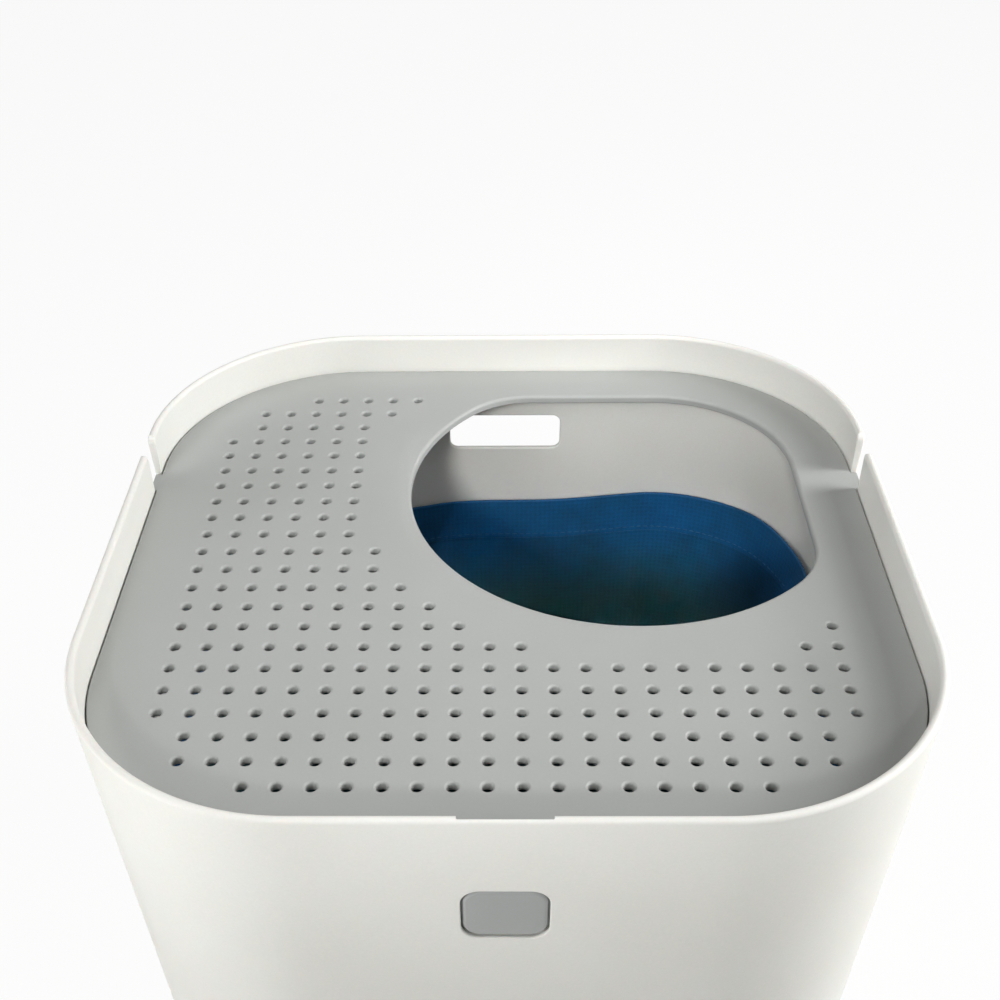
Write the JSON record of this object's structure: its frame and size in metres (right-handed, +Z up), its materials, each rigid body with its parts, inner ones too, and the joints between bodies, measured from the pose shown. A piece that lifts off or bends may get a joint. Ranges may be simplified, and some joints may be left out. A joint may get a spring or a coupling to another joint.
{
  "type": "top entry litter box",
  "caption": "Rounded square tub with a sunk perforated swivel lid, an entry opening in the lid, a push-button latch, a rear hand slot and a cloth liner.",
  "frame": {"origin": "centre of the footprint, on the floor under the feet", "axes": "+Z up, +Y towards the rear wall with the hand slot, +X to the right when facing the latch button; the button is on the -Y side"},
  "size_m": [0.406, 0.406, 0.381],
  "materials": {
    "tub_plastic": "white moulded polypropylene, satin",
    "lid_plastic": "grey moulded polypropylene, fine satin",
    "button_plastic": "grey moulded polypropylene, satin",
    "housing_plastic": "white moulded polypropylene",
    "spring_steel": "drawn spring wire",
    "liner_cloth": "woven coated tarpaulin, blue",
    "hem_cloth": "woven coated tarpaulin, blue, folded and stitched",
    "foot_rubber": "matt grey rubber"
  },
  "bodies": {
    "tub": {"tub_shell": "tub_plastic", "latch_housing": "housing_plastic", "latch_spring": "spring_steel", "liner_bag": "liner_cloth", "liner_hem": "hem_cloth", "foot_front_left": "foot_rubber", "foot_front_right": "foot_rubber", "foot_rear_left": "foot_rubber", "foot_rear_right": "foot_rubber"},
    "lid": {"lid_panel": "lid_plastic", "lid_catch": "lid_plastic"},
    "button": {"latch_button": "button_plastic"}
  },
  "joints": [
    {"name": "lid_swivel", "type": "hinge", "parent": "tub", "child": "lid", "pos_m": [0, 0.073, 0.3524], "axis": [-1, 0, 0], "range_deg": [0, 90]},
    {"name": "button_press", "type": "slide", "parent": "tub", "child": "button", "axis": [0, 0.9997, 0.0262], "range_m": [0, 0.0035], "stiffness_N_per_m": 300, "springref_m": -0.003, "deforming": ["latch_spring"]}
  ]
}
